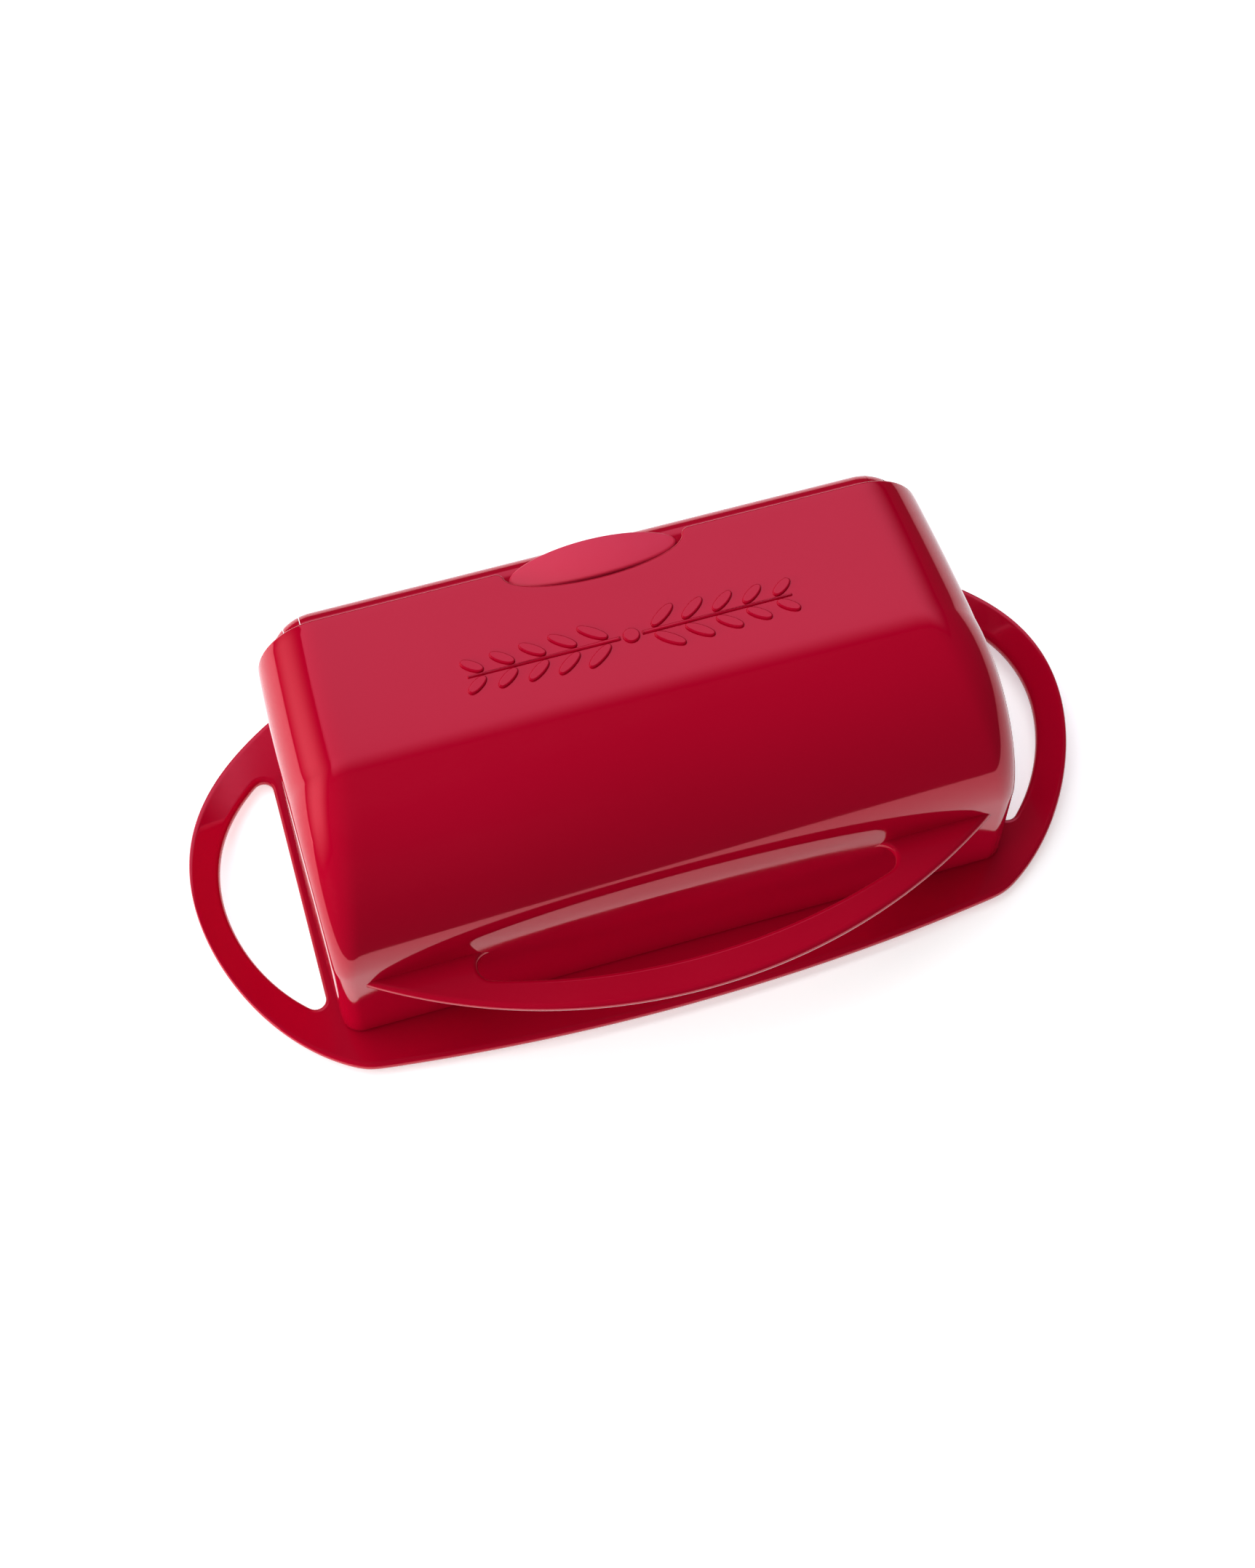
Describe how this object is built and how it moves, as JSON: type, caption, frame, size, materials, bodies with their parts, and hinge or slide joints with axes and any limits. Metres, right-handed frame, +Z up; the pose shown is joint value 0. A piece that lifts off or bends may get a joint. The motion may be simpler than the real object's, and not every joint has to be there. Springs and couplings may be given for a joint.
{
  "type": "flip-top butter dish",
  "caption": "Table butter dish with a glossy hinged flip-top lid, a crescent lifting handle, a fixed back wall and a tray with raised finger loops.",
  "frame": {"origin": "on the table, under the middle of the object's bounding box", "axes": "+Z up; X along the length over the two finger loops; -Y towards the front, where the crescent handle is"},
  "size_m": [0.231, 0.124, 0.0748],
  "materials": {
    "dish_plastic": "high gloss moulded crimson plastic",
    "pad_plastic": "satin soft-touch crimson plastic",
    "pin_steel": "bright drawn wire",
    "foot_rubber": "matte non-slip rubber"
  },
  "bodies": {
    "base": {"base_tray": "dish_plastic", "back_wall": "dish_plastic", "thumb_pad": "pad_plastic", "hinge_pin_left": "pin_steel", "hinge_pin_right": "pin_steel", "foot_front_left": "foot_rubber", "foot_front_right": "foot_rubber", "foot_rear_left": "foot_rubber", "foot_rear_right": "foot_rubber"},
    "lid": {"lid": "dish_plastic"}
  },
  "joints": [
    {"name": "lid_hinge", "type": "hinge", "parent": "base", "child": "lid", "pos_m": [0, 0.0409, 0.0615], "axis": [-1, 0, 0], "range_deg": [0, 105]}
  ]
}
